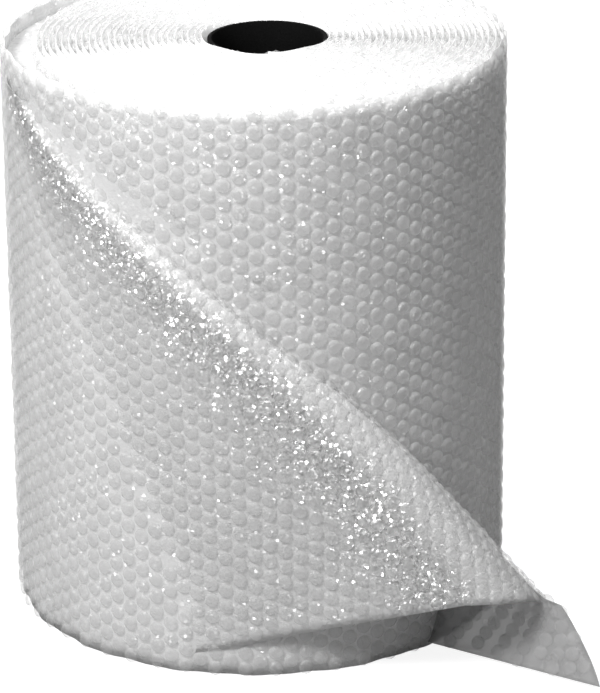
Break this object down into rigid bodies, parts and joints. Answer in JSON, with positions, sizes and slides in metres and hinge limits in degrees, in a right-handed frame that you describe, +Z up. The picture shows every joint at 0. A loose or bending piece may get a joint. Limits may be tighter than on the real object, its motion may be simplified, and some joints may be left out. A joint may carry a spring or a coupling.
{
  "type": "bubble film roll",
  "caption": "Roll of clear air-bubble cushioning film standing on its end, wound on a board tube, with its loose outer end folded over and reaching the floor.",
  "frame": {"origin": "on the axis of the core's bore, at the roll's lower end", "axes": "+Z up along the bore, -Y towards the front of the roll where the loose end is folded"},
  "size_m": [0.395, 0.3716, 0.4],
  "materials": {
    "film": "clear, glossy, bubbled",
    "board": "matt, dark"
  },
  "bodies": {
    "root": {"bubble_film": "film", "core_tube": "board"}
  },
  "joints": []
}
